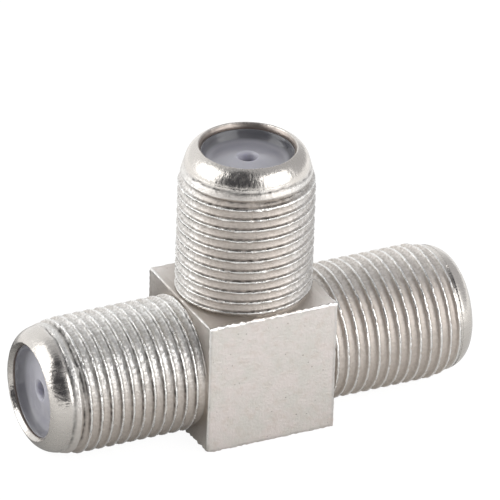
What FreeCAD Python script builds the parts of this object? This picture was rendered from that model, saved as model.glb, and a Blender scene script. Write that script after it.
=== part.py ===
import FreeCAD, Part

import os

import Sketcher

# A three-way coaxial tee of the F type: one cast block with three threaded barrels, an insulating bush rolled
# into each barrel, and two turned spring contacts that meet in the middle of the block. All sizes are in
# millimetres. The origin is the centre of the block's underside. X runs along the straight run, from the left
# port to the right port, and Z points up along the branch port.

Vector = FreeCAD.Vector

# Driving dimensions. Distances called reach, and all that are taken from them, start where the port axes cross.
SIZES = {
    # cast block
    "block_width": 9.7,
    "block_depth": 9.6,
    "block_height": 9.7,
    "block_edge_break": 0.1,
    "foot_clearance": 0.05,
    # barrels
    "run_reach": 16.1,
    "branch_reach": 15.75,
    # crests of the outside thread, 3/8 inch across and 32 turns to the inch
    "thread_radius": 4.745,
    # rolled nose
    "taper_length": 2.6,
    "nose_length": 1.15,
    "nose_radius": 4.38,
    "nose_round": 1.7,
    "rim_radius": 3.5,
    "mouth_radius": 3.2,
    "mouth_bevel": 0.24,
    # bores behind the lip
    "lip_length": 0.45,
    "bush_bore_radius": 3.45,
    "core_bore_radius": 2.9,
    # insulating bushes
    "bush_length": 6.6,
    "bush_clearance": 0.02,
    "bush_lead": 0.25,
    "dish_radius": 3.15,
    "dish_depth": 0.85,
    "face_radius": 2.9,
    "face_rise": 0.33,
    "front_wall": 1.2,
    "wire_hole_radius": 0.6,
    "countersink_radius": 0.84,
    # turned contacts
    "contact_radius": 1.1,
    "contact_clearance": 0.03,
    "tip_gap": 0.1,
    "tip_radius": 0.98,
    "socket_radius": 0.42,
    "socket_depth": 4.6,
    "socket_lead": 0.2,
    "drill_point": 0.25,
    "slot_width": 0.3,
    "slot_depth": 3.8,
    # joint between the two contacts
    "seat_flat": 0.35,
    "flat_clearance": 0.1,
    "spigot_radius": 0.55,
    "spigot_length": 1.5,
    "spigot_clearance": 0.01,
    # how far a cutting profile runs past the surface that it cuts
    "overcut": 0.2,
}

# Dimensions that follow from the driving ones, as formulas in their names.
DERIVED = {
    "axis_height": "thread_radius + foot_clearance",
    "shoulder_depth": "lip_length + bush_length",
    "bush_radius": "bush_bore_radius - bush_clearance",
    "bush_hole_radius": "contact_radius + contact_clearance",
    "face_depth": "lip_length + dish_depth",
    "wall_depth": "face_depth + front_wall",
    "countersink_depth": "countersink_radius - wire_hole_radius",
    "tip_depth": "wall_depth + tip_gap",
    "run_tip": "run_reach - tip_depth",
    "branch_tip": "branch_reach - tip_depth",
    "seat_height": "contact_radius - seat_flat",
    "spigot_end": "seat_height - spigot_length",
    "spigot_hole_radius": "spigot_radius + spigot_clearance",
    "flat_length": "2 * (contact_radius + flat_clearance)",
}

doc = FreeCAD.newDocument("coaxial_tee")
sheet = doc.addObject("Spreadsheet::Sheet", "sizes")
for row, (alias, content) in enumerate({**SIZES, **DERIVED}.items(), start=1):
    cell = "B%d" % row
    sheet.set("A%d" % row, alias)
    sheet.set(cell, "=" + content if alias in DERIVED else str(content))
    sheet.setAlias(cell, alias)
doc.recompute()


# Sketching

def bound(formula):
    """A formula in the dimensions' names, spelled for an expression outside the sheet."""
    words = formula.split()
    return " ".join("sizes." + word if word in SIZES or word in DERIVED else word for word in words)


def number(formula):
    """What a formula in the dimensions' names comes to."""
    return float(sheet.evalExpression(formula))


def origin_plane(body, role):
    """One of the body's own base planes."""
    return next(feature for feature in body.Origin.OriginFeatures if feature.Role == role)


def new_body(label):
    body = doc.addObject("PartDesign::Body", label)
    body.Label = label
    return body


def port_sketch(body, name, angle):
    """A sketch in the plane of the three port axes, with its origin where they cross. Its horizontal axis runs
    out of a port: the right one at 0 degrees, the upper one at 90, the left one at 180."""
    sketch = body.newObject("Sketcher::SketchObject", name)
    sketch.AttachmentSupport = [(origin_plane(body, "XZ_Plane"), "")]
    sketch.MapMode = "FlatFace"
    turn = FreeCAD.Rotation(Vector(0, 0, 1), angle)
    sketch.AttachmentOffset = FreeCAD.Placement(Vector(0, number("axis_height"), 0), turn)
    sketch.setExpression(".AttachmentOffset.Base.y", "sizes.axis_height")
    return sketch


def place(sketch, curve, end, along, across):
    """Fix one end of a curve at two formulas, its distances along and across the port axis."""
    root_point, root_end = -1, 1
    for kind, axis, formula in (("DistanceX", -2, along), ("DistanceY", -1, across)):
        distance = number(formula)
        if abs(distance) < 1e-9:
            sketch.addConstraint(Sketcher.Constraint("PointOnObject", curve, end, axis))
            continue
        if distance > 0:
            rule = Sketcher.Constraint(kind, root_point, root_end, curve, end, distance)
        else:
            rule = Sketcher.Constraint(kind, curve, end, root_point, root_end, -distance)
            formula = "0 - ( " + formula + " )"
        index = sketch.addConstraint(rule)
        sketch.setExpression("Constraints[%d]" % index, bound(formula))


def outward_arc(first, last, radius):
    """An arc between two points of a clockwise outline that bulges out of it."""
    chord = last - first
    rise = radius - (radius ** 2 - (chord.Length / 2) ** 2) ** 0.5
    crown = (first + last) / 2 + Vector(-chord.y, chord.x, 0).normalize() * rise
    return Part.ArcOfCircle(last, crown, first)


def outline(sketch, points, rounds=None):
    """Draw a closed clockwise outline through points given as pairs of formulas (along, across). rounds holds,
    for the number of a point, the radius of the arc that starts there."""
    rounds = rounds or {}
    spots = [Vector(number(along), number(across), 0) for along, across in points]
    ends = []
    for index, first in enumerate(spots):
        last = spots[(index + 1) % len(spots)]
        if index in rounds:
            # an arc always runs anticlockwise, so its second end lies at the outline's earlier point
            sketch.addGeometry(outward_arc(first, last, number(rounds[index])))
            ends.append((2, 1))
        else:
            sketch.addGeometry(Part.LineSegment(first, last))
            ends.append((1, 2))
    for index, (along, across) in enumerate(points):
        before = (index - 1) % len(points)
        place(sketch, index, ends[index][0], along, across)
        sketch.addConstraint(
            Sketcher.Constraint("Coincident", before, ends[before][1], index, ends[index][0]))
    for index, radius in rounds.items():
        rule = sketch.addConstraint(Sketcher.Constraint("Radius", index, number(radius)))
        sketch.setExpression("Constraints[%d]" % rule, bound(radius))
    doc.recompute()


def box_outline(sketch, left, right, bottom, top):
    outline(sketch, [(left, bottom), (left, top), (right, top), (right, bottom)])


def turned(body, kind, name, angle, points, rounds=None):
    """A Revolution or Groove of an outline about the axis of the port at the given angle."""
    sketch = port_sketch(body, name + "_outline", angle)
    outline(sketch, points, rounds)
    feature = body.newObject("PartDesign::" + kind, name)
    feature.Profile = sketch
    feature.ReferenceAxis = (sketch, ["H_Axis"])
    feature.Angle = 360
    doc.recompute()
    return feature


def cut_through(body, name, sketch):
    """Pocket an outline through the whole body, both ways."""
    pocket = body.newObject("PartDesign::Pocket", name)
    pocket.Profile = sketch
    pocket.Type = "ThroughAll"
    pocket.Midplane = True
    doc.recompute()
    return pocket


# Cast body

def block(body):
    """The block between the barrels, with its edges broken by the tumbling that castings get."""
    sketch = body.newObject("Sketcher::SketchObject", "block_outline")
    sketch.AttachmentSupport = [(origin_plane(body, "XY_Plane"), "")]
    sketch.MapMode = "FlatFace"
    box_outline(sketch, "0 - block_width / 2", "block_width / 2", "0 - block_depth / 2", "block_depth / 2")
    pad = body.newObject("PartDesign::Pad", "block")
    pad.Profile = sketch
    pad.setExpression("Length", "sizes.block_height")
    doc.recompute()
    edges = ["Edge%d" % (index + 1) for index in range(len(pad.Shape.Edges))]
    edge_break = body.newObject("PartDesign::Chamfer", "block_edges")
    edge_break.Base = (pad, edges)
    edge_break.setExpression("Size", "sizes.block_edge_break")
    doc.recompute()


def barrel(body, name, angle, reach):
    """A barrel from the crossing out to its rim: the cylinder of the thread's crests, which runs right up to the
    block, a taper over its last turns, and the round of the lip, which a rolling tool turned in over the bush."""
    turned(body, "Revolution", name, angle, [
        ("0", "0"),
        ("0", "thread_radius"),
        (reach + " - taper_length", "thread_radius"),
        (reach + " - nose_length", "nose_radius"),
        (reach, "rim_radius"),
        (reach, "0"),
    ], rounds={3: "nose_round"})


def port_bore(body, name, angle, reach):
    """A port's bore, from the crossing out: the narrow core, the shoulder that the bush seats on, the bush's
    own bore, and the mouth left open by the lip."""
    turned(body, "Groove", name, angle, [
        ("0", "0"),
        ("0", "core_bore_radius"),
        (reach + " - shoulder_depth", "core_bore_radius"),
        (reach + " - shoulder_depth", "bush_bore_radius"),
        (reach + " - lip_length", "bush_bore_radius"),
        (reach + " - lip_length", "mouth_radius"),
        (reach + " - mouth_bevel", "mouth_radius"),
        (reach + " + mouth_bevel", "mouth_radius + 2 * mouth_bevel"),
        (reach + " + mouth_bevel", "0"),
    ])


PORTS = {
    "left": (180, "run_reach"),
    "right": (0, "run_reach"),
    "top": (90, "branch_reach"),
}

casting = new_body("body")
block(casting)
for side, (angle, reach) in PORTS.items():
    barrel(casting, side + "_barrel", angle, reach)
for side, (angle, reach) in PORTS.items():
    port_bore(casting, side + "_bore", angle, reach)


# Insulating bushes

def bush(label, angle, reach):
    """A moulded bush that carries the end of a contact. Its rim lies under the lip. The dished face inside it
    rises to the countersunk hole that leads the cable's wire in, and its rear edge is bevelled to start into
    the bore."""
    body = new_body(label)
    turned(body, "Revolution", label + "_bush", angle, [
        (reach + " - shoulder_depth", "bush_hole_radius"),
        (reach + " - shoulder_depth", "bush_radius - bush_lead"),
        (reach + " - shoulder_depth + bush_lead", "bush_radius"),
        (reach + " - lip_length", "bush_radius"),
        (reach + " - lip_length", "dish_radius"),
        (reach + " - face_depth", "face_radius"),
        (reach + " - face_depth + face_rise", "countersink_radius"),
        (reach + " - face_depth + face_rise - countersink_depth", "wire_hole_radius"),
        (reach + " - wall_depth", "wire_hole_radius"),
        (reach + " - wall_depth", "bush_hole_radius"),
    ])


for side, (angle, reach) in PORTS.items():
    bush(side + "_insulator", angle, reach)


# Contacts

def socket_end(body, name, angle, root, tip):
    """One turned end of a contact, from its root to the drilled and slotted tip that grips the wire. The four
    leaves are closed in a little, so the tip is narrower than the shank. root is the list of points before the
    shank."""
    turned(body, "Revolution", name, angle, root + [
        (tip + " - slot_depth", "contact_radius"),
        (tip, "tip_radius"),
        (tip, "socket_radius + socket_lead"),
        (tip + " - socket_lead", "socket_radius"),
        (tip + " - socket_depth", "socket_radius"),
        (tip + " - socket_depth - drill_point", "0"),
    ])
    slot_outline = port_sketch(body, name + "_slot_outline", angle)
    box_outline(slot_outline, tip + " - slot_depth", tip + " + overcut", "0 - slot_width / 2", "slot_width / 2")
    slot = cut_through(body, name + "_slot", slot_outline)
    slots = body.newObject("PartDesign::PolarPattern", name + "_slots")
    slots.Originals = [slot]
    slots.Axis = (slot_outline, ["H_Axis"])
    slots.Angle = 90
    slots.Occurrences = 2
    body.Tip = slots
    doc.recompute()


run_contact = new_body("run_contact")
for side in ("left", "right"):
    socket_end(run_contact, side + "_socket", PORTS[side][0], [("0", "0"), ("0", "contact_radius")], "run_tip")

# The middle of the run contact is milled flat on top and drilled through for the branch contact's spigot.
flat_outline = port_sketch(run_contact, "flat_outline", 0)
box_outline(flat_outline, "0 - flat_length / 2", "flat_length / 2", "seat_height", "contact_radius + overcut")
cut_through(run_contact, "seat", flat_outline)

hole_outline = run_contact.newObject("Sketcher::SketchObject", "hole_outline")
hole_outline.AttachmentSupport = [(origin_plane(run_contact, "XY_Plane"), "")]
hole_outline.MapMode = "FlatFace"
hole_outline.setExpression(".AttachmentOffset.Base.z", "sizes.axis_height")
hole_outline.addGeometry(Part.Circle(Vector(0, 0, 0), Vector(0, 0, 1), number("spigot_hole_radius")))
hole_outline.addConstraint(Sketcher.Constraint("Coincident", 0, 3, -1, 1))
hole_outline.addConstraint(Sketcher.Constraint("Radius", 0, number("spigot_hole_radius")))
hole_outline.setExpression("Constraints[1]", "sizes.spigot_hole_radius")
doc.recompute()
cut_through(run_contact, "spigot_hole", hole_outline)

# The branch contact stands on that flat, with its spigot pressed into the hole.
branch_contact = new_body("branch_contact")
socket_end(branch_contact, "top_socket", PORTS["top"][0], [
    ("spigot_end", "0"),
    ("spigot_end", "spigot_radius"),
    ("seat_height", "spigot_radius"),
    ("seat_height", "contact_radius"),
], "branch_tip")


# Checks and files

doc.recompute()
for item in doc.Objects:
    if "Invalid" in item.State or "Error" in item.State:
        raise RuntimeError("%s didn't compute: %s" % (item.Label, item.State))
    if item.TypeId in ("PartDesign::Groove", "PartDesign::Pocket"):
        if item.Shape.Volume > item.BaseFeature.Shape.Volume - 1e-4:
            raise RuntimeError("%s cuts nothing" % item.Label)

bodies = [item for item in doc.Objects if item.TypeId == "PartDesign::Body"]
for body in bodies:
    if body.Shape.isNull() or not body.Shape.isValid() or len(body.Shape.Solids) != 1:
        raise RuntimeError("%s isn't one sound solid" % body.Label)

os.makedirs("parts", exist_ok=True)
for body in bodies:
    body.Shape.exportStep("parts/%s.step" % body.Label)
    print("%-16s %8.2f mm3" % (body.Label, body.Shape.Volume))
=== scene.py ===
# %% [markdown]
# # Dressing a three-way coaxial splitter
#
# The object is a small plated casting: a nearly cubic block with three
# threaded barrels, a plastic bush in each barrel, and two spring contacts
# inside. It is 32 mm long. This lesson builds the looks of each piece round a
# solid model that is already right in size, and then the light and the camera.

import math

import bpy
import numpy as np
from mathutils import Matrix, Vector


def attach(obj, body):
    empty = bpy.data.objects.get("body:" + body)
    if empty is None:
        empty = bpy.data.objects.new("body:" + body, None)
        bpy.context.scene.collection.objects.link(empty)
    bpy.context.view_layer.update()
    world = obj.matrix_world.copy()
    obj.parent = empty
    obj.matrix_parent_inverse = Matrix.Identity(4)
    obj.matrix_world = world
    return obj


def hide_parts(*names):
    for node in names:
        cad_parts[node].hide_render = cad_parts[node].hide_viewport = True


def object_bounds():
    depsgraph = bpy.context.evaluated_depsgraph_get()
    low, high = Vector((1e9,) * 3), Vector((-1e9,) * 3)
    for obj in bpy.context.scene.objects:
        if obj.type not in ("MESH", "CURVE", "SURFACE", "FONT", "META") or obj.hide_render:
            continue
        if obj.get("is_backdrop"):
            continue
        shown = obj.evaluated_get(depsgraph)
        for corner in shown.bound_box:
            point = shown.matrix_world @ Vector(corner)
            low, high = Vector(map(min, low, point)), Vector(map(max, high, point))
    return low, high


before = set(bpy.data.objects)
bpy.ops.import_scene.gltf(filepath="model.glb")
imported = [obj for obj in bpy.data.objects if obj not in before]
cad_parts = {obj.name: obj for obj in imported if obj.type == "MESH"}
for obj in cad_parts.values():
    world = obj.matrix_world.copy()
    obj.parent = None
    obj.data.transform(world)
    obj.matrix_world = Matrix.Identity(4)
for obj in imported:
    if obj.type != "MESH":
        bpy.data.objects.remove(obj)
cad_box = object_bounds()
print("CAD nodes:", sorted(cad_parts))

# %% [markdown]
# ## Measures
#
# A maker thinks of this part in millimetres, and Blender's unit here is the
# metre. So every shape is made in millimetres first and scaled once, when its
# mesh is handed over. The numbers below are those of the solids, apart from the
# thread, in whose place the solids have plain cylinders.

# %% Sizes in millimetres
MM = 0.001

AXIS_HEIGHT = 4.795          # the port axes above the block's underside
BLOCK = (9.70, 9.60, 9.70)   # width, depth and height of the block
HALF = np.array(BLOCK) / 2
FACE = {"left": 4.85, "right": 4.85, "top": 4.905}
REACH = {"left": 16.1, "right": 16.1, "top": 15.75}

PITCH = 25.4 / 32            # 32 threads to the inch
TURN = 2 * math.pi
THREAD_RADIUS = 4.745
THREAD_DEPTH = 0.285         # it is shallow, because plating has filled it
MOUTH_RADIUS = 3.20
LIP_LENGTH = 0.45
BUSH_BORE = 3.45
BUSH_LENGTH = 6.60
CORE_RADIUS = 2.90
ROOT_RADIUS = 4.20           # of a barrel where it starts, hidden in the block

# Each port has its own axes: outward first, then two across that turn
# right-handed about it, so that all three threads are right-handed.
CROSSING = np.array([0.0, 0.0, AXIS_HEIGHT])
PORT_AXES = {
    "left": np.array([(-1, 0, 0), (0, 0, 1), (0, 1, 0)], float),
    "right": np.array([(1, 0, 0), (0, 1, 0), (0, 0, 1)], float),
    "top": np.array([(0, 0, 1), (1, 0, 0), (0, 1, 0)], float),
}

for port, axes in PORT_AXES.items():
    turn = np.dot(np.cross(axes[1], axes[2]), axes[0])
    print(f"{port} port: reach {REACH[port]} mm, right-handed: {turn > 0}")

# %% [markdown]
# ## Small helpers
#
# Colours are written as sRGB hex values, as a designer would pick them, and a
# renderer works with linear light, so one function turns the one into the
# other. Another adds a shader node with its settings and links, and another
# makes a smooth random curve. All randomness has a fixed seed: the part comes
# out the same each time.

# %% Colour, node and mesh helpers
def linear(hex_colour):
    """An sRGB hex value as linear red, green and blue, and full alpha."""
    channels = []
    for start in (1, 3, 5):
        c = int(hex_colour[start:start + 2], 16) / 255
        channels.append(c / 12.92 if c <= 0.04045 else ((c + 0.055) / 1.055) ** 2.4)
    return (*channels, 1.0)


def node(tree, kind, sockets=None, **attributes):
    """Adds a node, sets its attributes, and fills or links its inputs."""
    made = tree.nodes.new(kind)
    for name, value in attributes.items():
        setattr(made, name, value)
    for name, value in (sockets or {}).items():
        if isinstance(value, bpy.types.NodeSocket):
            tree.links.new(value, made.inputs[name])
        else:
            made.inputs[name].default_value = value
    return made


def empty_tree(owner):
    """The node tree of a material or world, with nothing in it yet."""
    owner.use_nodes = True
    owner.node_tree.nodes.clear()
    return owner.node_tree


def wander(x, wavelength, seed, waves=14):
    """A smooth random curve over x, with a mean of 0 and a spread of 1."""
    rng = np.random.default_rng(seed)
    rate = rng.uniform(0.35, 1.65, waves) * TURN / wavelength
    phase = rng.uniform(0, TURN, waves)
    total = np.zeros_like(x, dtype=float)
    for k, p in zip(rate, phase):
        total += np.cos(k * x + p)
    return total * math.sqrt(2 / waves)


def smooth_step(x, low, high):
    """0 below low, 1 above high, and an even S between them."""
    s = np.clip((x - low) / (high - low), 0, 1)
    return s * s * (3 - 2 * s)


def mesh_piece(name, points, faces):
    """An object from points in millimetres; points that meet become one."""
    keys = np.round(np.asarray(points, float) / 2e-4).astype(np.int64)
    _, first, index = np.unique(keys, axis=0, return_index=True, return_inverse=True)
    index = index.reshape(-1)
    clean = []
    for face in faces:
        loop = [int(index[v]) for v in face]
        loop = [v for i, v in enumerate(loop) if v != loop[i - 1]]
        if len(set(loop)) > 2:
            clean.append(loop)
    mesh = bpy.data.meshes.new(name)
    mesh.from_pydata([tuple(points[i]) for i in first], [], clean)
    mesh.validate()
    piece = bpy.data.objects.new(name, mesh)
    bpy.context.scene.collection.objects.link(piece)
    print(f"{name}: {len(mesh.vertices)} points, {len(mesh.polygons)} faces")
    return piece


def grid_faces(rows, columns, start=0):
    """Quads between neighbouring rows of a sheet of points."""
    return [
        (start + r * columns + c, start + r * columns + c + 1,
         start + (r + 1) * columns + c + 1, start + (r + 1) * columns + c)
        for r in range(rows - 1) for c in range(columns - 1)
    ]


print("nickel grey in linear light:", [round(c, 3) for c in linear("#D6D1C9")[:3]])

# %% [markdown]
# ## The barrel's outline
#
# Each barrel has a thread of 3/8 inch with 32 turns to the inch, which runs
# right up to the block, and a domed nose that was rolled over the bush after
# threading. Rolling also pressed the last turns down. A turned part like this
# could be a curve with a Screw modifier, but a thread isn't a turned shape: it
# climbs. So the outline is a function of the distance from the crossing, and
# the thread is taken off it afterwards. The top nose is rolled a little tighter
# here than on the solid.

# %% Outline of the barrel
TAPER = 2.60                 # from the rim, where the rolled part starts
NOSE = 1.15
NOSE_RADIUS = {"left": 4.38, "right": 4.38, "top": 4.30}
NOSE_ROUND = 1.70
RIM_RADIUS = {"left": 3.50, "right": 3.50, "top": 3.45}


def outline(t, port):
    """The barrel's radius at a distance t from the crossing."""
    reach, wide, narrow = REACH[port], NOSE_RADIUS[port], RIM_RADIUS[port]
    chord = np.array([NOSE, narrow - wide])
    length = np.hypot(*chord)
    sink = math.sqrt(NOSE_ROUND ** 2 - (length / 2) ** 2)
    middle = np.array([reach - NOSE / 2, (wide + narrow) / 2])
    centre = middle + np.array([chord[1], -chord[0]]) / length * sink
    radius = np.interp(t, [reach - TAPER, reach - NOSE], [THREAD_RADIUS, wide])
    bow = np.sqrt(np.maximum(NOSE_ROUND ** 2 - (t - centre[0]) ** 2, 0))
    return np.where(t > reach - NOSE, centre[1] + bow, radius)


for t in (5.0, 10.0, 14.0, 15.5, 16.1):
    print(f"radius at {t} mm: {float(outline(np.array(t), 'left')):.3f}")

# %% [markdown]
# ## The thread
#
# A sharp 60 degree thread would show straight flanks. This one was plated and
# has filled up: narrow round crests stand on wide, slightly hollow bands, and
# each crest is steeper on the side towards the rim. The rows of the mesh follow
# the helix, so that every crest is one clean line and not a staircase. The
# crests are knocked and a little uneven, and those nicks break the light along
# them. They are cut into the mesh, because a bump map would leave the outline
# too clean.

# %% One pitch of the thread, and where it runs
# (part of the pitch, depth in mm) from the middle of a crest out to the next one:
# a round crest, its steep outer side, the hollow band, and the slope back up
THREAD_FORM = [(0.0, 0.0), (0.045, 0.003), (0.075, 0.016), (0.105, 0.060),
               (0.155, 0.175), (0.20, 0.232), (0.34, 0.270), (0.52, THREAD_DEPTH),
               (0.70, 0.268), (0.79, 0.200), (0.865, 0.070), (0.92, 0.010)]
COLUMNS = 156                # keeps the casting under 200,000 triangles
THREAD_START = -0.70         # from the block's face: the first turn is inside it
# Ragged rings that rolling left under the nose: (from the rim, depth) in mm.
ROLLED_RINGS = {"left": [(1.45, 0.055), (2.20, 0.060)], "right": [],
                "top": [(1.45, 0.055), (2.20, 0.080)]}
# From the rim: where the thread is full, and where rolling pressed it flat.
THREAD_END = {"left": (2.30, 1.75), "right": (1.60, 1.10), "top": (2.30, 1.75)}
CREST_AT = {"left": 4.99, "right": 5.54, "top": 5.51}   # a crest at angle 0
RING_WIDTH = 0.075
print(f"thread: {PITCH:.4f} mm pitch, {THREAD_DEPTH} mm deep, {len(THREAD_FORM)} rows a turn")

# %% The rows of the thread, and the nicks in it
CREST_TOP = 0.08             # depth down to which a dent knocks a crest
CREST_FOOT = 0.25            # depth down to which it wavers sideways


def in_ring(from_rim, place):
    """1 in the middle of a rolled ring, and less to both sides of it."""
    return np.exp(-((from_rim - place) / RING_WIDTH) ** 2)


def thread_rows(port, seed):
    """Points of the threaded length, in rows along the helix."""
    start = FACE[port] + THREAD_START
    full, gone = THREAD_END[port]
    end = REACH[port] - NOSE - 0.02
    turns = range(int((start - CREST_AT[port]) / PITCH) - 2,
                  int((end - CREST_AT[port]) / PITCH) + 2)
    parts = np.array([k + part for k in turns for part, _ in THREAD_FORM])
    depths = np.array([depth for k in turns for _, depth in THREAD_FORM])
    angle = np.linspace(0, TURN, COLUMNS + 1)
    lift = angle / TURN
    along = parts[:, None] + lift[None, :]
    travel = (np.floor(parts + 1e-9)[:, None] + lift[None, :]) * TURN
    arc = travel * THREAD_RADIUS
    crest = np.clip(1 - depths / CREST_TOP, 0, 1)[:, None]
    near = np.clip(1 - depths / CREST_FOOT, 0, 1)[:, None]
    # The crest wavers sideways, and is knocked down here and there.
    waver = 0.009 * wander(arc, 2.2, seed) + 0.006 * wander(arc, 0.6, seed + 1)
    dents = 0.040 * np.clip(wander(arc, 1.0, seed + 2) - 1.35, 0, 1.2)
    dents += 0.022 * np.clip(wander(arc, 0.50, seed + 3), 0, 3)
    t = np.clip(CREST_AT[port] + PITCH * along + near * waver, start, end)
    from_rim = REACH[port] - t
    fade = smooth_step(from_rim, gone, full)
    sink = fade * (depths[:, None] + crest * dents + near * 0.4 * dents)
    for place, deep in ROLLED_RINGS[port]:
        ragged = 1 + 0.45 * wander(angle * THREAD_RADIUS, 1.4, seed + 5)[None, :]
        sink = sink + deep * np.clip(ragged, 0, 2) * in_ring(from_rim, place)
    radius = outline(t, port) - sink
    return t, radius, angle


t, radius, _ = thread_rows("left", 3)
print(f"thread rows: {t.shape}, radius {radius.min():.3f} to {radius.max():.3f} mm")

# %% [markdown]
# ## The barrels as closed solids
#
# The rest of a barrel is turned: its root in the block, the nose, the rim, the
# mouth and the bore that holds the bush. Its rows are plain rings, and the
# first and last row of the thread lie on rings too, so everything meets point
# to point. The rim is thin and slightly uneven, as a rolled lip is.

# %% From a port's own measures to the part's frame
def placed(port, t, radius, angle):
    """Points in the part's frame from a port's own measures."""
    axes = PORT_AXES[port]
    return (CROSSING + t[..., None] * axes[0]
            + (radius * np.cos(angle))[..., None] * axes[1]
            + (radius * np.sin(angle))[..., None] * axes[2])


print("middle of the top rim:", placed("top", np.array(REACH["top"]), 0.0, 0.0))

# %% Build one barrel
ROOT_START = 2.6             # from the crossing: the barrel's closed inner end
NOSE_ROWS = 14
LIP_DROP = 0.050             # how unevenly the rolled lip ends, in mm
LIP_SPREAD = 0.018


def build_barrel(port, seed):
    """A closed barrel: thread, nose, mouth and a blind bore for the bush."""
    reach = REACH[port]
    t, radius, ring = thread_rows(port, seed)
    root = [(ROOT_START, ROOT_RADIUS), (t.min() - 0.05, ROOT_RADIUS)]
    nose_t = reach - NOSE * np.cos(np.linspace(0, math.pi / 2, NOSE_ROWS))
    nose = [(x, float(outline(np.array(x), port))) for x in nose_t]
    crown = RIM_RADIUS[port]
    mouth = [(reach - 0.005, crown - 0.04), (reach - 0.03, crown - 0.08),
             (reach - 0.09, crown - 0.13), (reach - 0.18, crown - 0.20),
             (reach - 0.27, MOUTH_RADIUS + 0.025), (reach - 0.35, MOUTH_RADIUS),
             (reach - LIP_LENGTH, MOUTH_RADIUS), (reach - LIP_LENGTH, BUSH_BORE),
             (reach - LIP_LENGTH - BUSH_LENGTH, BUSH_BORE)]

    def rings(stations):
        x, r = (np.array(column)[:, None] for column in zip(*stations))
        # The rolled lip is uneven: a little lower and wider in places.
        lip = smooth_step(x, reach - 0.30, reach - 0.02)
        whole = np.array([3, 5, 8, 13, 21, 34])
        phases = np.random.default_rng(seed).uniform(0, TURN, whole.size)
        uneven = sum(np.cos(k * ring + p) for k, p in zip(whole, phases)) / whole.size
        x = x - lip * LIP_DROP * (1 + uneven) * 0.5
        return x, np.broadcast_to(r, x.shape) + lip * LIP_SPREAD * uneven

    parts = [rings(root), (t, radius), rings(nose), rings(mouth)]
    all_t = np.vstack([x for x, _ in parts])
    all_r = np.vstack([r for _, r in parts])
    points = placed(port, all_t, all_r, ring)
    rows, columns = all_t.shape
    faces = grid_faces(rows, columns)
    last = (rows - 1) * columns
    faces.append(tuple(range(columns - 1, 0, -1)))
    faces.append(tuple(range(last, last + columns - 1)))
    return mesh_piece(f"barrel_{port}", points.reshape(-1, 3), faces)


barrels = [build_barrel(port, seed)
           for port, seed in (("left", 21), ("right", 47), ("top", 83))]

# %% [markdown]
# ## The block
#
# The block is cast and then trimmed, so its faces are flat while its edges are
# soft and uneven: a thin raised burr runs along the top front edge, and the
# two lower corners are rounder. A Bevel modifier would make every edge the
# same. Here each face is a set of square rings that get finer towards the
# edge, and every edge is rounded with a radius that wanders along it.

# %% Rings of one face, and the rounding of the edges
RING_INSETS = [0.0, 0.03, 0.07, 0.12, 0.18, 0.26, 0.36, 0.50]
SIDE_STEPS = 72

# (first axis, its side, second axis, its side): edge radius in mm
EDGE_RADII = {
    (1, -1, 2, 1): 0.17, (1, -1, 2, -1): 0.11, (1, 1, 2, 1): 0.13,
    (1, 1, 2, -1): 0.12, (0, -1, 2, 1): 0.14, (0, 1, 2, 1): 0.14,
    (0, -1, 2, -1): 0.34, (0, 1, 2, -1): 0.36, (0, -1, 1, -1): 0.09,
    (0, 1, 1, -1): 0.08, (0, -1, 1, 1): 0.12, (0, 1, 1, 1): 0.12,
}
print("edge radii:", min(EDGE_RADII.values()), "to", max(EDGE_RADII.values()), "mm")


def face_rings(axis, side):
    """One face of the block, as square rings from its edge inward."""
    across = [a for a in range(3) if a != axis]
    rows = []
    for inset in RING_INSETS:
        a, b = HALF[across[0]] - inset, HALF[across[1]] - inset
        s = np.linspace(-1, 1, SIDE_STEPS + 1)[:-1]
        u = np.concatenate([s * a, np.full(s.shape, a), -s * a, np.full(s.shape, -a)])
        v = np.concatenate([np.full(s.shape, -b), s * b, np.full(s.shape, b), -s * b])
        row = np.zeros((u.size, 3))
        row[:, axis], row[:, across[0]], row[:, across[1]] = side * HALF[axis], u, v
        rows.append(np.vstack([row, row[:1]]))
    return np.array(rows)


def soften_edges(points):
    """Rounds each edge of the block, with a radius that wanders along it."""
    out = points.copy()
    for number, ((a, sa, b, sb), size) in enumerate(EDGE_RADII.items()):
        along = points[:, 3 - a - b]
        radius = size * (1 + 0.25 * wander(along, 1.5, 300 + number)
                         + 0.28 * wander(along, 0.6, 400 + number))
        radius = np.clip(radius, 0.035, 2.0 * size)
        u = out[:, a] * sa - (HALF[a] - radius)
        v = out[:, b] * sb - (HALF[b] - radius)
        size_now = np.hypot(u, v)
        hit = (u > 0) & (v > 0) & (size_now > radius)
        scale = np.where(hit, radius / np.maximum(size_now, 1e-9), 1)
        out[:, a] = np.where(hit, sa * (HALF[a] - radius + u * scale), out[:, a])
        out[:, b] = np.where(hit, sb * (HALF[b] - radius + v * scale), out[:, b])
    return out


# %% Build the block with its burr
BURR_INSET = 0.10            # of its ridge, from the front face
BURR_WIDTH = 0.075
BURR_HEIGHT = 0.035
BURR_LIMIT = 0.08


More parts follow.
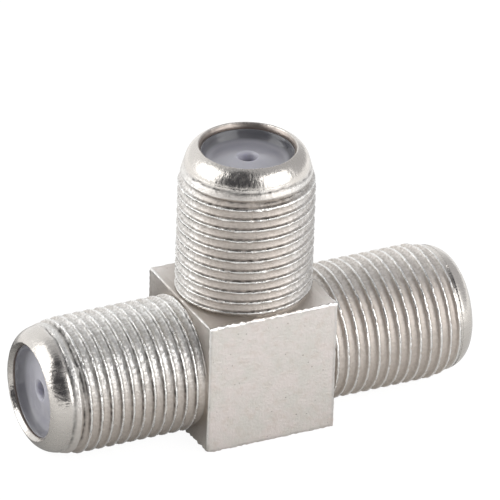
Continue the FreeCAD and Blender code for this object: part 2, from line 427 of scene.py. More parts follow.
def build_block():
    """The cast block: flat faces, worn edges and a burr at the top front."""
    points, faces = [], []
    for axis in range(3):
        for side in (-1, 1):
            rows = face_rings(axis, side)
            start = sum(len(p) for p in points)
            count, columns = rows.shape[:2]
            flip = (side > 0) == (axis != 1)
            quads = grid_faces(count, columns, start)
            last = start + (count - 1) * columns
            quads.append(tuple(range(last, last + columns - 1)))
            faces += quads if flip else [q[::-1] for q in quads]
            points.append(rows.reshape(-1, 3))
    points = soften_edges(np.vstack(points))
    # The burr: trimming pushed a little metal up along the front edge.
    from_front = points[:, 1] + HALF[1]
    on_top = smooth_step(points[:, 2], HALF[2] - 0.16, HALF[2] - 0.02)
    ridge = np.exp(-((from_front - BURR_INSET) / BURR_WIDTH) ** 2) * on_top
    height = BURR_HEIGHT + BURR_HEIGHT * np.clip(wander(points[:, 0], 0.8, 501), -1, 1.5)
    points[:, 2] += ridge * np.clip(height, 0, BURR_LIMIT)
    points[:, 2] += HALF[2]
    return mesh_piece("block", points, faces)


block = build_block()

# %% [markdown]
# ## One casting
#
# Block and barrels are one piece of metal, so they are joined into one closed
# mesh, with the bores meeting in the middle. The Boolean modifier's exact solver
# does that. It is applied at once, since the wear on the surface is worked out
# from where its points are.

# %% Join the block and barrels, and bore the core
DRILL_SIDES = 64


def core_cutter(port):
    """A plain drill from the crossing through the shoulder of one bore."""
    depth = REACH[port] - LIP_LENGTH - BUSH_LENGTH + 0.5
    steps = np.linspace(0, TURN, DRILL_SIDES + 1)[:-1]
    points = placed(port, np.array([[-0.01], [depth]]), CORE_RADIUS, steps).reshape(-1, 3)
    n = DRILL_SIDES
    faces = [(i, (i + 1) % n, n + (i + 1) % n, n + i) for i in range(n)]
    faces += [tuple(range(n - 1, -1, -1)), tuple(range(n, 2 * n))]
    return mesh_piece(f"drill_{port}", points, faces)


def apply_modifiers(target):
    """Makes what the modifiers show into the object's own mesh."""
    graph = bpy.context.evaluated_depsgraph_get()
    mesh = bpy.data.meshes.new_from_object(target.evaluated_get(graph))
    target.modifiers.clear()
    target.data = mesh
    return mesh


def combine(target, others, operation):
    """Applies one exact Boolean step after the other, and clears the tools."""
    for other in others:
        step = target.modifiers.new(operation.lower(), "BOOLEAN")
        step.operation, step.solver, step.object = operation, "EXACT", other
    result = apply_modifiers(target)
    for other in others:
        bpy.data.objects.remove(other)
    print(f"{operation.lower()}: {len(result.vertices)} points")


combine(block, barrels, "UNION")
combine(block, [core_cutter(port) for port in PORT_AXES], "DIFFERENCE")
casting = block
casting.name = casting.data.name = "casting"

# %% [markdown]
# ## Where the metal is smooth, threaded or worn
#
# The finish differs over the one casting: the rolled nose is burnished bright, the thread is as the
# die left it, the block is a satin trimmed face, and the crests and edges are rubbed bright.
# Painting that by hand would be lost when a size changes. So it is computed from each point's place
# and stored as attributes, which the material reads. Some of them paint light and shade into the
# colour: a highlight along the block's edges, lighter bands on the lit side of each barrel, and
# shade round the barrels' feet, inside the mouths and along the crests.

# %% The points, and a number on each for every finish
def mesh_points(mesh):
    """The points of a mesh, as rows of x, y and z."""
    numbers = np.empty(len(mesh.vertices) * 3)
    mesh.vertices.foreach_get("co", numbers)
    return numbers.reshape(-1, 3)


def store(mesh, name, values):
    """Keeps one number per point under a name that a material can read."""
    layer = mesh.attributes.new(name, "FLOAT", "POINT")
    layer.data.foreach_set("value", np.asarray(values, np.float32))


def lay(name, where, values):
    """Sets one finish where the mask is true, and leaves the rest."""
    finish[name] = np.where(where, values, finish[name])


mesh = casting.data
co = mesh_points(mesh)
finish = {name: np.zeros(len(co)) for name in
          ("burnish", "thread", "wear_and_edge_highlight", "painted_corner_shade", "inside", "dark_lines_and_shade", "tumbled_lit_side")}
drawn = co.copy()
print("points to finish:", len(co))

# %% The finish along the barrels
BARREL_LIMIT = 4.90          # from a port's axis: no part of a barrel is further out
SKIN_LIMIT = 4.76            # the same, for the streaks along it
NOSE_FADE = (1.15, 1.65)     # from the rim: where the burnished nose gives way
# Painted shade: the span from a port's axis over which the darkened corner round a barrel's foot
# fades out.
CORNER_SHADE = (4.75, 6.4)          # from a port's axis: the stain round a barrel's foot
SHADED_LIP = (0.05, 0.12)      # from the rim: the inner slope of the upper lip
# Painted shade: the side of each barrel, towards the camera, on which dark lines are painted along
# the crests.
SHADED_SIDE = {"left": (0, -0.85, 0.53), "right": (0, -0.70, 0.71), "top": (-0.45, -0.89, 0)}
# Tumbling and painted light: how strongly it shows, on which side, and where that starts and is
# full.
TUMBLED_LIT_SIDE = {"left": (1.0, (0, -0.35, 0.94), 0.25, 0.95),
           "right": (0.5, (0, 0, 1), 0.70, 0.98),
           "top": (0.8, (0.45, 0.89, 0), -0.93, -0.55)}

for port, axes in PORT_AXES.items():
    local = (co - CROSSING) @ axes.T
    t, r = local[:, 0], np.hypot(local[:, 1], local[:, 2])
    from_rim = REACH[port] - t
    full, gone = THREAD_END[port]
    on_barrel = (t > FACE[port] + 0.01) & (r < BARREL_LIMIT)
    in_mouth = on_barrel & (r < MOUTH_RADIUS + 0.02) & (from_rim > 0.20)
    on_nose = 1 - smooth_step(from_rim, *NOSE_FADE)
    lay("burnish", on_barrel & ~in_mouth, on_nose)
    lay("thread", on_barrel, 1 - on_nose)
    # Painted shade: the wall inside each mouth is darker and rougher.
    lay("inside", in_mouth, 1.0)

    # Crests are rubbed bright. Where rolling flattened the last turns, the tool
    # left them satin.
    top = outline(t, port)
    high = smooth_step(r, top - 0.075, top - 0.02) * (from_rim > 1.3)
    high = high * (0.3 + 0.7 * smooth_step(from_rim, gone, full))
    lay("wear_and_edge_highlight", on_barrel, np.maximum(finish["wear_and_edge_highlight"], high))

    # Painted shade: the corner round each barrel's foot is darker, and a little rougher.
    foot = (np.abs(t - FACE[port]) < 0.06) & (r > ROOT_RADIUS)
    lay("painted_corner_shade", foot, np.maximum(finish["painted_corner_shade"], 1 - smooth_step(r, *CORNER_SHADE)))

    # Painted shade: the inner slope of the upper lip, rolled furthest in, is darker and rougher.
    if port == "top":
        slope = on_barrel & ~in_mouth & (r < RIM_RADIUS[port] - 0.06) & (from_rim < LIP_LENGTH)
        lay("inside", slope, 0.75 * smooth_step(from_rim, *SHADED_LIP))

    # Painted shade: a dark line in the lee of each crest, and in the rolled rings, on that side.
    turn = np.arctan2(local[:, 2], local[:, 1]) % TURN
    phase = ((t - CREST_AT[port]) / PITCH - turn / TURN) % 1.0
    outward = (co - CROSSING) - t[:, None] * axes[0]
    outward = outward / np.maximum(r, 1e-6)[:, None]
    facing = outward @ np.array(SHADED_SIDE[port])
    shade_line = smooth_step(phase, 0.05, 0.085) * (1 - smooth_step(phase, 0.13, 0.20))
    shade_line = shade_line * smooth_step(facing, 0.45, 0.90) * (from_rim > full)
    for place, _ in ROLLED_RINGS[port]:
        shade_line += 1.3 * in_ring(from_rim, place) * smooth_step(facing, 0.1, 0.7)
    lay("dark_lines_and_shade", on_barrel & (r > ROOT_RADIUS), np.clip(shade_line, 0, 1))

    # Painted light: on the sides that face the light the bands are lighter, and smoother from
    # tumbling.
    strength, side, begins, ends = TUMBLED_LIT_SIDE[port]
    lit_side = strength * smooth_step(outward @ np.array(side), begins, ends)
    lay("tumbled_lit_side", on_barrel, lit_side * (from_rim > 1.2))

    # Along a barrel the pattern's own measure runs slowly: that draws streaks.
    slow = local * np.array([0.15, 1.0, 1.0]) + 20.0 * axes[0]
    drawn = np.where((on_barrel & (r < SKIN_LIMIT))[:, None], slow, drawn)
    print(f"{port} barrel: {np.count_nonzero(on_barrel)} points")

# %% The finish on the block, and all of it stored
centred = np.abs(co - np.array([0, 0, HALF[2]]))
to_face, to_edge, _ = np.sort(HALF - centred, axis=1).T
on_block = (centred <= HALF + 0.09).all(axis=1)
# Worn edges with a painted highlight: light nickel along the block's edges, but not the lowest ones,
# where little light falls.
edge = (1 - smooth_step(to_edge, 0.02, 0.20)) * smooth_step(co[:, 2], 0.3, 1.5)
lay("wear_and_edge_highlight", on_block & (to_face < 0.15), np.maximum(finish["wear_and_edge_highlight"], edge))
# A faint darker band just inside the block's edges.
edge_band = smooth_step(to_edge, 0.05, 0.10) * (1 - smooth_step(to_edge, 0.15, 0.30))
lay("dark_lines_and_shade", on_block & (to_face < 0.02), 0.22 * edge_band)

for name, values in finish.items():
    store(mesh, name, values)
    print(f"{name}: over half on {np.mean(values > 0.5):.1%} of the points")
layer = mesh.attributes.new("drawn", "FLOAT_VECTOR", "POINT")
layer.data.foreach_set("vector", drawn.astype(np.float32).ravel())

# %% Smooth and flat shading
FLAT_AREA = 0.35             # mm2: larger faces than this are true flats
SHARP_ANGLE = 48

flat = []
for polygon in mesh.polygons:
    n = np.abs(np.array(polygon.normal))
    flat.append(polygon.area > FLAT_AREA and n.max() > 0.9999)
mesh.polygons.foreach_set("use_smooth", [not f for f in flat])
mesh.set_sharp_from_angle(angle=math.radians(SHARP_ANGLE))

# Large faces set the shading of their corners, so the flanks of the thread and
# the block's faces stay straight and only the narrow rounds between them bend.
weigh = casting.modifiers.new("weighted_normals", "WEIGHTED_NORMAL")
weigh.keep_sharp = True
mesh = apply_modifiers(casting)
mesh.transform(Matrix.Scale(MM, 4))
print("flat faces:", sum(flat), "points:", len(co),
      "triangles:", sum(len(p.vertices) - 2 for p in mesh.polygons))

# %% [markdown]
# ## The bushes
#
# Each port is closed by a moulded polyethylene bush. Its rim lies under the
# rolled lip, so the wall that shows inside the mouth is plastic too. The dished
# face rises again to the countersunk hole for the centre wire. It is a turned
# shape, so its outline is spun once, with small fillets where a mould has them.
# Its countersink is a little narrower here than in the solids, and its face
# rises a little more.

# %% Sizes of a bush, and its outline
BUSH_RADIUS = 3.43
BUSH_LEAD = 0.25
FRONT_WALL = 1.20
WIRE_HOLE = 0.60
COUNTERSINK = 0.74
DISH_RADIUS = 3.15
DISH_DEPTH = 0.85
FACE_RISE = 0.46
FACE_RADIUS = 2.90
CHAMBER = 1.13
# The dish near its edge: (above its lowest face, radius) in mm, and the drop of
# the rounded shoulder by the hole: (radius, drop).
DISH = [(0.160, 2.20), (0.125, 2.45), (0.150, 2.65), (0.215, 2.82), (0.320, 2.93), (0.60, 3.045)]
SHOULDER = [(0.95, 0.008), (1.25, 0.001), (1.75, 0.0)]


def bush_outline(rim):
    """(along the port, radius) of a bush, round from its back and home again."""
    back, face = rim - BUSH_LENGTH, rim - DISH_DEPTH
    top = face + FACE_RISE
    sink = COUNTERSINK - WIRE_HOLE
    slope = [(face + FACE_RISE * (FACE_RADIUS - r) / (FACE_RADIUS - COUNTERSINK) - drop, r)
             for r, drop in SHOULDER]
    return [
        (back, CHAMBER + 0.08), (back + 0.08, CHAMBER),
        (face - FRONT_WALL, CHAMBER), (face - FRONT_WALL, WIRE_HOLE),
        (top - sink - 0.03, WIRE_HOLE), (top - sink + 0.02, WIRE_HOLE + 0.02),
        (top - 0.05, COUNTERSINK - 0.03), (top - 0.02, COUNTERSINK + 0.01),
        (top - 0.022, COUNTERSINK + 0.08), *slope,
        *((face + height, r) for height, r in DISH), (rim - 0.05, DISH_RADIUS - 0.025),
        (rim - 0.015, DISH_RADIUS), (rim - 0.002, DISH_RADIUS + 0.03),
        (rim - 0.002, BUSH_RADIUS - 0.02), (rim - 0.02, BUSH_RADIUS),
        (back + BUSH_LEAD, BUSH_RADIUS), (back, BUSH_RADIUS - BUSH_LEAD),
        (back, CHAMBER + 0.08),
    ]


print("bush outline:", len(bush_outline(0.0)), "points")

# %% Spin the three bushes
BUSH_COLUMNS = 96
# Painted shade: how much darker the wall inside each mouth is, port by port.
WALL_SHADE = {"left": 0.55, "right": 0.80, "top": 1.0}
# Painted shade: how much darker a bush gets across its face, and towards which side.
LOW_SHADE = (0.35, (0, 0.50, -0.87))
FACE_SHADE = {"left": LOW_SHADE, "right": LOW_SHADE, "top": (0.65, (0.45, 0.89, 0))}


def build_bush(port):
    """A plastic bush from the lip back to the shoulder of its bore."""
    t, r = np.array(bush_outline(REACH[port] - LIP_LENGTH)).T[:, :, None]
    ring = np.linspace(0, TURN, BUSH_COLUMNS + 1)
    points = placed(port, t, r, ring)
    faces = [q[::-1] for q in grid_faces(len(t), ring.size)]
    piece = mesh_piece(f"{port}_bush", points.reshape(-1, 3), faces)
    mesh = piece.data
    mesh.polygons.foreach_set("use_smooth", [True] * len(mesh.polygons))
    mesh.set_sharp_from_angle(angle=math.radians(40))

    # Where the bush is wall, hole or countersink, and its painted shade and light, for its material.
    points = mesh_points(mesh)
    local = (points - CROSSING) @ PORT_AXES[port].T
    r = np.hypot(local[:, 1], local[:, 2])
    strength, side = FACE_SHADE[port]
    painted_face_shade = smooth_step((points - CROSSING) @ np.array(side), -3.0, 2.6)
    store(mesh, "painted_face_shade", strength * painted_face_shade)
    store(mesh, "painted_wall_shade", WALL_SHADE[port] * smooth_step(r, 2.70, 3.0))
    # Painted light: the hole is lighter, as if lit; the countersink round it gets a set grey.
    store(mesh, "painted_hole_light", 1 - smooth_step(r, 0.60, 0.66))
    store(mesh, "sink", smooth_step(r, 0.56, 0.62) * (1 - smooth_step(r, 0.70, 0.80)))
    mesh.transform(Matrix.Scale(MM, 4))
    return piece


bushes = {port: build_bush(port) for port in PORT_AXES}

# %% [markdown]
# ## Nickel plating on zinc
#
# The casting is zinc alloy with bright nickel over copper. Nickel is a little warmer and darker than
# chrome. It is a metal, so all its colour is in the reflection: metallic is 1 and the IOR stays at
# its default. The roughness changes from place to place: a burnished nose near 0.25, the trimmed
# block near 0.5, the dull bands of the thread near 0.6, and crests and edges that are rubbed bright
# near 0.17. The bands are warmer too, where thin nickel lets some of the copper show, and the
# corners round the barrels' feet are darker with painted shade.

# %% The nickel material: where things are, and its patterns
# A Mix node's sockets by number: factor, both values, and for colours also the result.
MIX_FACTOR, MIX_LOW, MIX_HIGH = 0, 2, 3
MIX_A, MIX_B, MIX_COLOUR = 6, 7, 2


def per_metre(size_mm):
    """Texture scale for a pattern with features of this size."""
    return 1000 / size_mm


nickel = bpy.data.materials.new("nickel_plated_zinc")
tree = empty_tree(nickel)
place = node(tree, "ShaderNodeTexCoord").outputs["Object"]
drawn_out = node(tree, "ShaderNodeAttribute", attribute_name="drawn").outputs["Vector"]
along = node(tree, "ShaderNodeVectorMath", {0: drawn_out, "Scale": MM},
             operation="SCALE").outputs["Vector"]

masks = {}
for name in ("burnish", "thread", "wear_and_edge_highlight", "painted_corner_shade", "inside", "dark_lines_and_shade", "tumbled_lit_side"):
    masks[name] = node(tree, "ShaderNodeAttribute", attribute_name=name).outputs["Fac"]

# Each noise: size of its features in mm, detail, roughness, and where it is read.
# The real grain of the plating is under 0.05 mm; 0.20 mm is what the render can show.
PATTERNS = {
    "mottle": (1.40, 4.0, 0.62, place),
    "warmth": (0.50, 3.0, 0.50, place),
    "patch": (2.20, 1.0, 0.50, place),
    "dark_line_mix": (0.45, 2.0, 0.50, place),
    "wave": (0.70, 2.0, 0.50, place),
    "grain": (0.20, 3.0, 0.60, place),
    "streak": (0.20, 3.0, 0.50, along),
}
patterns = {}
for name, (size, detail, harshness, where) in PATTERNS.items():
    patterns[name] = node(tree, "ShaderNodeTexNoise",
                          {"Vector": where, "Scale": per_metre(size), "Detail": detail,
                           "Roughness": harshness}).outputs["Fac"]
print("patterns:", ", ".join(f"{n} {v[0]} mm" for n, v in PATTERNS.items()))

# %% Ranges of the patterns
# Noise stays near 0.5, so each use of it stretches the middle of its range.
# Name: the pattern, its value at the start and at the end, and what these become.
RANGES = {
    "mottled": ("mottle", 0.38, 0.62, 0.0, 1.0),
    "warm": ("warmth", 0.50, 0.72, 0.0, 0.32),
    "pitted": ("patch", 0.42, 0.58, 0.0, 0.9),
    "dark_line_varied": ("dark_line_mix", 0.30, 0.70, 0.25, 1.0),
    "sparkle": ("grain", 0.40, 0.60, 0.0, 1.0),
    "satin": ("grain", 0.30, 0.70, 0.44, 0.54),
    "matt": ("grain", 0.30, 0.70, 0.58, 0.66),
    "tumbled": ("grain", 0.40, 0.60, 0.54, 0.30),
    "polished": ("streak", 0.30, 0.70, 0.17, 0.32),
}
ranges = {}
for name, (source, start, stop, low, high) in RANGES.items():
    ranges[name] = node(tree, "ShaderNodeMapRange",
                        {"Value": patterns[source], "From Min": start, "From Max": stop,
                         "To Min": low, "To Max": high}).outputs["Result"]

# Fine dark pits, about 0.12 mm wide, in some places only.
cells = node(tree, "ShaderNodeTexVoronoi",
             {"Vector": place, "Scale": per_metre(0.50)}).outputs["Distance"]
pit = node(tree, "ShaderNodeMapRange",
           {"Value": cells, "From Min": 0.05, "From Max": 0.12,
            "To Min": 1.0, "To Max": 0.0}).outputs["Result"]
# Pits in some places only, and the painted dark lines with a strength that varies.
for name, one, other in (("pit", pit, ranges["pitted"]), ("dark_line_mix", masks["dark_lines_and_shade"], ranges["dark_line_varied"])):
    masks[name] = node(tree, "ShaderNodeMath", {0: one, 1: other}, operation="MULTIPLY").outputs[0]
print("ranges:", ", ".join(ranges), "and masks:", ", ".join(masks))

# %% Colour of the nickel, layer on layer
# Two shades each for the block's face, the dull bands and the bands on the lit side, whose lighter
# tone is painted light.
SHADES = {
    "face": ("mottled", "#E0DCD6", "#E7DFDB"),
    "dull": ("sparkle", "#CDC5BD", "#D7CFC8"),
    "lit_side": ("sparkle", "#C8C5C1", "#E6E4E1"),
}
shades = {}
for name, (level, dark, light) in SHADES.items():
    shades[name] = node(tree, "ShaderNodeMix",
                        {MIX_FACTOR: ranges[level], MIX_A: linear(dark), MIX_B: linear(light)},
                        data_type="RGBA").outputs[MIX_COLOUR]
shades["band"] = node(tree, "ShaderNodeMix",
                      {MIX_FACTOR: masks["tumbled_lit_side"], MIX_A: shades["dull"],
                       MIX_B: shades["lit_side"]}, data_type="RGBA").outputs[MIX_COLOUR]

# Rubbed crests and edges show clean bright nickel; on the block's edges that is also a painted
# highlight. The bands are duller. Painted shade darkens the corners round the barrels' feet, the
# inside of the mouths and the lines along the crests.
colour = shades["face"]
for mask, tone in (
        (ranges["warm"], linear("#D3C6BA")), (masks["pit"], linear("#8C837A")),
        (masks["thread"], shades["band"]), (masks["burnish"], linear("#D4CFC9")),
        (masks["wear_and_edge_highlight"], linear("#F2F1EE")), (masks["dark_line_mix"], linear("#3E3B39")),
        (masks["painted_corner_shade"], linear("#C2BBB4")), (masks["inside"], linear("#8C8078"))):
    colour = node(tree, "ShaderNodeMix", {MIX_FACTOR: mask, MIX_A: colour, MIX_B: tone},
                  data_type="RGBA").outputs[MIX_COLOUR]

# Roughness in the same way: block, bands, tumbled bands, nose, and what is worn.
rough = ranges["satin"]
for mask, value in (
        (masks["thread"], ranges["matt"]), (masks["tumbled_lit_side"], ranges["tumbled"]),
        (masks["burnish"], ranges["polished"]), (masks["wear_and_edge_highlight"], 0.17),
        (masks["painted_corner_shade"], 0.50), (masks["inside"], 0.45)):
    rough = node(tree, "ShaderNodeMix",
                 {MIX_FACTOR: mask, MIX_LOW: rough, MIX_HIGH: value}).outputs[0]
print("nickel nodes so far:", len(tree.nodes))

# %% Relief of the nickel
# The grain is deepest on the tumbled bands and faint on the nose, where the
# streaks of the rolling tool take its place. Soft waves of 0.7 mm run over all.
BLOCK_GRAIN, BAND_GRAIN, TUMBLED_GRAIN = 0.03 * MM, 0.05 * MM, 0.07 * MM
deep = TUMBLED_GRAIN
for mask, low in ((masks["tumbled_lit_side"], BAND_GRAIN), (masks["thread"], BLOCK_GRAIN)):
    deep = node(tree, "ShaderNodeMix",
                {MIX_FACTOR: mask, MIX_LOW: low, MIX_HIGH: deep}).outputs[0]
share = node(tree, "ShaderNodeMix", {MIX_FACTOR: masks["burnish"], MIX_LOW: 1.0,
                                     MIX_HIGH: 0.35}).outputs[0]
grain_lift, streak_lift = (
    node(tree, "ShaderNodeMath", {0: patterns[name], 1: by}, operation="MULTIPLY").outputs[0]
    for name, by in (("grain", share), ("streak", masks["burnish"])))
normal = None
for height, strength, distance in (
        (grain_lift, 1.0, deep), (streak_lift, 0.60, 0.03 * MM),
        (patterns["wave"], 0.40, 0.05 * MM)):
    relief = {"Height": height, "Strength": strength, "Distance": distance}
    if normal:
        relief["Normal"] = normal
    normal = node(tree, "ShaderNodeBump", relief).outputs["Normal"]

metal = node(tree, "ShaderNodeBsdfPrincipled",
             {"Base Color": colour, "Roughness": rough, "Metallic": 1.0, "Normal": normal})
node(tree, "ShaderNodeOutputMaterial", {"Surface": metal.outputs["BSDF"]})
print("nickel material:", len(tree.nodes), "nodes")

# %% [markdown]
# ## Moulded polyethylene
#
# The bushes are natural polyethylene. It is waxy and slightly see-through, so
# light goes in and comes out again softened, and in a dark metal bore it looks
# grey. Its IOR is 1.51. The face took the polish of the mould, which gives it
# clear, soft reflections.

# %% The bush material
polyethylene = bpy.data.materials.new("moulded_polyethylene")
tree = empty_tree(polyethylene)
place = node(tree, "ShaderNodeTexCoord").outputs["Object"]
cloudy, bloom, ripples = (
    node(tree, "ShaderNodeTexNoise",
         {"Vector": place, "Scale": per_metre(size), "Detail": detail}).outputs["Fac"]
    for size, detail in ((2.2, 3.0), (0.25, 2.0), (1.2, 2.0)))
cloudy = node(tree, "ShaderNodeMapRange",
              {"Value": cloudy, "From Min": 0.35, "From Max": 0.70}).outputs["Result"]
gloss = node(tree, "ShaderNodeMapRange",
             {"Value": bloom, "From Min": 0.3, "From Max": 0.7,
              "To Min": 0.14, "To Max": 0.26}).outputs["Result"]

# Painted shade and light: the face is greyer on its shaded side, the wall inside the mouth greyer
# still, the hole lighter, as if lit, and the countersink a set grey.
milky = linear("#B6B5BC")
for mask, tone in ((cloudy, "#C0BFC6"), ("painted_face_shade", "#86858D"), ("painted_wall_shade", "#66666A"),
                   ("painted_hole_light", "#CFCDD8"), ("sink", "#B2B1B9")):
    if isinstance(mask, str):
        mask = node(tree, "ShaderNodeAttribute", attribute_name=mask).outputs["Fac"]
    milky = node(tree, "ShaderNodeMix", {MIX_FACTOR: mask, MIX_A: milky, MIX_B: linear(tone)},
                 data_type="RGBA").outputs[MIX_COLOUR]
ripple = node(tree, "ShaderNodeBump",
              {"Height": ripples, "Strength": 0.30, "Distance": 0.05 * MM})
plastic = node(tree, "ShaderNodeBsdfPrincipled",
               {"Base Color": milky, "Roughness": gloss,
                "IOR": 1.51, "Subsurface Weight": 0.8,
                "Subsurface Radius": (1.0, 1.0, 1.1), "Subsurface Scale": 0.8 * MM,
                "Normal": ripple.outputs["Normal"]})
node(tree, "ShaderNodeOutputMaterial", {"Surface": plastic.outputs["BSDF"]})
print("bush material:", len(tree.nodes), "nodes")

# %% [markdown]
# ## Tinned brass
#
# The spring contacts are turned from brass and tinned. Hardly any of them
# shows: only the mouth of each socket, deep in its hole. They keep their own
# solid shape and get a metal that is right when the part is opened: pale tin,
# a little yellow where it is thin, with fine turning rings.

# %% The contact material
tinned = bpy.data.materials.new("tinned_brass")
tree = empty_tree(tinned)
place = node(tree, "ShaderNodeTexCoord").outputs["Object"]
thin = node(tree, "ShaderNodeTexNoise",
            {"Vector": place, "Scale": per_metre(0.8), "Detail": 4.0}).outputs["Fac"]
tin = node(tree, "ShaderNodeValToRGB", {"Fac": thin})
for stop, position, tone in zip(tin.color_ramp.elements, (0.45, 0.75), ("#CFCBC2", "#CDBB8C")):
    stop.position, stop.color = position, linear(tone)
rings = node(tree, "ShaderNodeTexWave",
             {"Vector": place, "Scale": per_metre(0.12) / 20, "Distortion": 1.5},
             bands_direction="X").outputs["Fac"]
tin_rough = node(tree, "ShaderNodeMapRange",
                 {"Value": rings, "To Min": 0.22, "To Max": 0.36}).outputs["Result"]
turning = node(tree, "ShaderNodeBump",
               {"Height": rings, "Strength": 0.3, "Distance": 0.01 * MM})
metal = node(tree, "ShaderNodeBsdfPrincipled",
             {"Base Color": tin.outputs["Color"], "Roughness": tin_rough,
              "Metallic": 1.0, "Normal": turning.outputs["Normal"]})
node(tree, "ShaderNodeOutputMaterial", {"Surface": metal.outputs["BSDF"]})
print("contact material:", len(tree.nodes), "nodes")

# %% [markdown]
# ## Handing the pieces to the frame
#
# The casting stands for the solid body and each bush for its insulator. The
# part has no joints, so everything rides on the one body, root. The contacts
# are the CAD nodes themselves, with a new material in their slots.

# %% Materials, slots and nodes
casting.data.materials.clear()
casting.data.materials.append(nickel)
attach(casting, "root")
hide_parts("body")

for port, bush in bushes.items():
    bush.data.materials.append(polyethylene)
    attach(bush, "root")
    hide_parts(f"{port}_insulator")

for name in ("run_contact", "branch_contact"):
    for material_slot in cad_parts[name].material_slots:
        material_slot.material = tinned

# %% [markdown]
# ## Floor and background
#
# The picture was taken on plain white. The floor is a matt white sheet. For
# the camera, and in the metal's reflections, most of its light is its own
# white, and the rest is what really falls on it, so the soft shadow stays. In
# reflections it gets brighter away from the object, as it does near the panels,
# and it is dark behind the object at the left, as the block's left face shows.

# %% The floor's sheet
FLOOR_HALF = 0.60
sheet = bpy.data.meshes.new("floor")
sheet.from_pydata([(-FLOOR_HALF, -FLOOR_HALF, 0), (FLOOR_HALF, -FLOOR_HALF, 0),
                   (FLOOR_HALF, FLOOR_HALF, 0), (-FLOOR_HALF, FLOOR_HALF, 0)],
                  [], [(0, 1, 2, 3)])
floor = bpy.data.objects.new("floor", sheet)
bpy.context.scene.collection.objects.link(floor)
floor.location.z = -0.01 * MM
print("floor:", 2 * FLOOR_HALF, "m square")

# %% Its paper, and how far each place is from the object
paper = bpy.data.materials.new("matt_white_paper")
tree = empty_tree(paper)
light_path = node(tree, "ShaderNodeLightPath").outputs
here = node(tree, "ShaderNodeTexCoord").outputs["Object"]
fibre = node(tree, "ShaderNodeTexNoise", {"Vector": here, "Scale": per_metre(8.0)}).outputs["Fac"]
paper_rough = node(tree, "ShaderNodeMapRange",
                   {"Value": fibre, "To Min": 0.85, "To Max": 0.95}).outputs["Result"]
matt = node(tree, "ShaderNodeBsdfPrincipled",
            {"Base Color": linear("#F4F4F2"), "Roughness": paper_rough,
             "Specular IOR Level": 0.0})

distances = {}
for name, middle in (("object", (0, 0, 0)), ("dark place", (-10 * MM, 13 * MM, 0))):
    distances[name] = node(tree, "ShaderNodeVectorMath", {0: here, 1: middle},
                           operation="DISTANCE").outputs["Value"]

# Each level: what it follows, where it starts and stops in mm, and its two values.
LEVELS = {
    "glow": ("object", 10, 80, 0.66, 1.30),
    "clear": ("object", 9, 32, 0.10, 0.85),
    "shade": ("dark place", 9, 27, 0.06, 1.0),
}
levels = {}
for name, (source, start, stop, low, high) in LEVELS.items():
    levels[name] = node(tree, "ShaderNodeMapRange",
                        {"Value": distances[source], "From Min": start * MM, "From Max": stop * MM,
                         "To Min": low, "To Max": high}).outputs["Result"]
print("floor levels:", LEVELS)

# %% What the floor shows to the camera, and in reflections
SEEN_WHITE = 1.10
SEEN_SHARE = 0.86            # of what the camera sees; the rest is the real shadow
DARK_SHARE = 0.9
white = node(tree, "ShaderNodeEmission", {"Strength": SEEN_WHITE})
glow = node(tree, "ShaderNodeMath", {0: levels["glow"], 1: levels["shade"]},
            operation="MULTIPLY").outputs[0]
reflected = node(tree, "ShaderNodeEmission", {"Strength": glow})
clear = node(tree, "ShaderNodeMix", {MIX_FACTOR: levels["shade"], MIX_LOW: DARK_SHARE,
                                     MIX_HIGH: levels["clear"]}).outputs[0]
look = matt.outputs["BSDF"]
for ray, share, light in (("Is Camera Ray", SEEN_SHARE, white), ("Is Glossy Ray", clear, reflected)):
    share = node(tree, "ShaderNodeMath", {0: light_path[ray], 1: share},
                 operation="MULTIPLY").outputs[0]
    look = node(tree, "ShaderNodeMixShader",
                {0: share, 1: look, 2: light.outputs["Emission"]}).outputs["Shader"]
node(tree, "ShaderNodeOutputMaterial", {"Surface": look})
floor.data.materials.append(paper)
floor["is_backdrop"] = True
print("paper material:", len(tree.nodes), "nodes")

# %% [markdown]
# ## Studio light
#
# Polished metal shows the room, so the light is made of things to reflect. The two noses in the
# photograph work like mirror balls: what they show gives the room. There is one large soft panel to
# the right of the camera and one at the left, both from the table up to about 55 degrees; a dark
# strip between them, where the camera stands; white all round at the level of the table; and a
# greyer ceiling. The dark strip makes the dark patches on the noses and, with painted shade, the
# thin dark lines along the crests.

# %% Soft panels
CENTRE = Vector((0, 0, 9)) * MM


def direction(azimuth, elevation):
    """From the object: azimuth 0 is towards the viewer, 90 to the right."""
    a, e = math.radians(azimuth), math.radians(elevation)
    return Vector((math.sin(a) * math.cos(e), -math.cos(a) * math.cos(e), math.sin(e)))


def soft_panel(name, azimuth, elevation, distance, width, height, radiance):
    """A rectangular soft light that faces the object."""
    lamp = bpy.data.lights.new(name, "AREA")
    lamp.shape, lamp.size, lamp.size_y = "RECTANGLE", width, height
    lamp.energy = radiance * math.pi * width * height
    panel = bpy.data.objects.new(name, lamp)
    bpy.context.scene.collection.objects.link(panel)
    panel.location = CENTRE + direction(azimuth, elevation) * distance
    panel.rotation_euler = (panel.location - CENTRE).to_track_quat("Z", "Y").to_euler()
    print(f"{name}: {math.degrees(2 * math.atan(width / 2 / distance)):.0f} degrees wide")


# Azimuth and elevation; distance, width and height in metres; radiance.
soft_panel("right_panel", 30, 27, 0.60, 0.54, 0.54, 2.2)
soft_panel("left_panel", -108, 29, 0.60, 0.46, 0.60, 2.0)

# %% The room: white for the camera, and with a dark strip in reflections
def cosine(degrees):
    """The cosine of an angle in degrees."""
    return math.cos(math.radians(degrees))


world = bpy.data.worlds.new("studio")
bpy.context.scene.world = world
tree = empty_tree(world)
ray = node(tree, "ShaderNodeTexCoord").outputs["Generated"]
flat_ray = node(tree, "ShaderNodeVectorMath", {0: ray, 1: (1.0, 1.0, 0.0)},
                operation="MULTIPLY").outputs["Vector"]
level = node(tree, "ShaderNodeVectorMath", {0: flat_ray}, operation="NORMALIZE").outputs["Vector"]

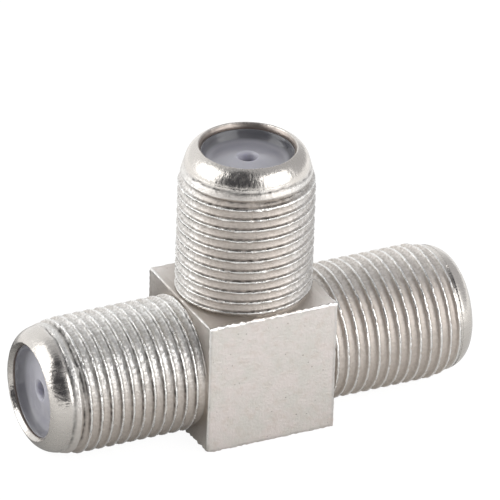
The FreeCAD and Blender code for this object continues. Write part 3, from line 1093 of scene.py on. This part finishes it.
# Each region: its middle, what is measured against it (the ray, or the ray laid
# level for a region that runs from the floor to the ceiling), the angles where
# it starts and where it is full, and its colour.
room = (1.05, 1.06, 1.07, 1.0)
for middle, measured, start, full, tone in (
        (direction(-20, 65), ray, 78, 25, "#B7B8BA"),        # the ceiling
        (direction(100, 0), level, 50, 15, "#C6C6C8"),       # beside the right panel
        (direction(-43, 0), level, 46, 37, "#47474B")):      # the dark strip
    toward = node(tree, "ShaderNodeVectorMath", {0: measured, 1: tuple(middle)},
                  operation="DOT_PRODUCT").outputs["Value"]
    there = node(tree, "ShaderNodeMapRange",
                 {"Value": toward, "From Min": cosine(start), "From Max": cosine(full)},
                 interpolation_type="SMOOTHSTEP").outputs["Result"]
    room = node(tree, "ShaderNodeMix", {MIX_FACTOR: there, MIX_A: room, MIX_B: linear(tone)},
                data_type="RGBA").outputs[MIX_COLOUR]
camera_ray = node(tree, "ShaderNodeLightPath").outputs["Is Camera Ray"]
seen_colour = node(tree, "ShaderNodeMix",
                   {MIX_FACTOR: camera_ray, MIX_A: room, MIX_B: (1, 1, 1, 1)},
                   data_type="RGBA").outputs[MIX_COLOUR]
backdrop = node(tree, "ShaderNodeBackground", {"Color": seen_colour})
node(tree, "ShaderNodeOutputWorld", {"Surface": backdrop.outputs["Background"]})
print("world:", len(tree.nodes), "nodes")

# %% [markdown]
# ## The camera
#
# The picture was taken from the left and above with a long lens, so the block
# looks almost parallel. The values were fitted to the block's corners and the
# rims of the mouths, with the camera turned by a small roll.

# %% Place the camera
AZIMUTH, ELEVATION, ROLL = -26.881, 28.544, 1.895
DISTANCE = 592.532 * MM
TARGET = Vector((0.420, 0.0, 12.338)) * MM
PICTURE = 500                # the photograph's width and height in pixels
FOCAL_PIXELS = 8672.73
SENSOR = 36.0

back = direction(AZIMUTH, ELEVATION)
right = direction(AZIMUTH + 90, 0)
up = back.cross(right)
roll = math.radians(ROLL)
rolled_right = right * math.cos(roll) + up * math.sin(roll)
rolled_up = up * math.cos(roll) - right * math.sin(roll)

lens = bpy.data.cameras.new("camera")
lens.sensor_width = SENSOR
lens.lens = FOCAL_PIXELS * SENSOR / PICTURE
lens.clip_start, lens.clip_end = 0.01, 10.0
camera = bpy.data.objects.new("camera", lens)
bpy.context.scene.collection.objects.link(camera)
pose = Matrix((rolled_right, rolled_up, back)).transposed().to_4x4()
pose.translation = TARGET + back * DISTANCE
camera.matrix_world = pose
bpy.context.scene.camera = camera
print(f"lens {lens.lens:.1f} mm at", tuple(round(c, 4) for c in pose.translation))

bpy.context.scene.view_settings.view_transform = "Standard"

# %% [markdown]
# ## Last: the sizes side by side
#
# The box of the solids and the box of what is shown are printed side by side.

# %% Write the sizes and finish
bpy.context.view_layer.update()
shown_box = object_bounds()
for label, box in (("CAD box", cad_box), ("shown box", shown_box)):
    print(label, [tuple(round(c / MM, 3) for c in p) for p in box])
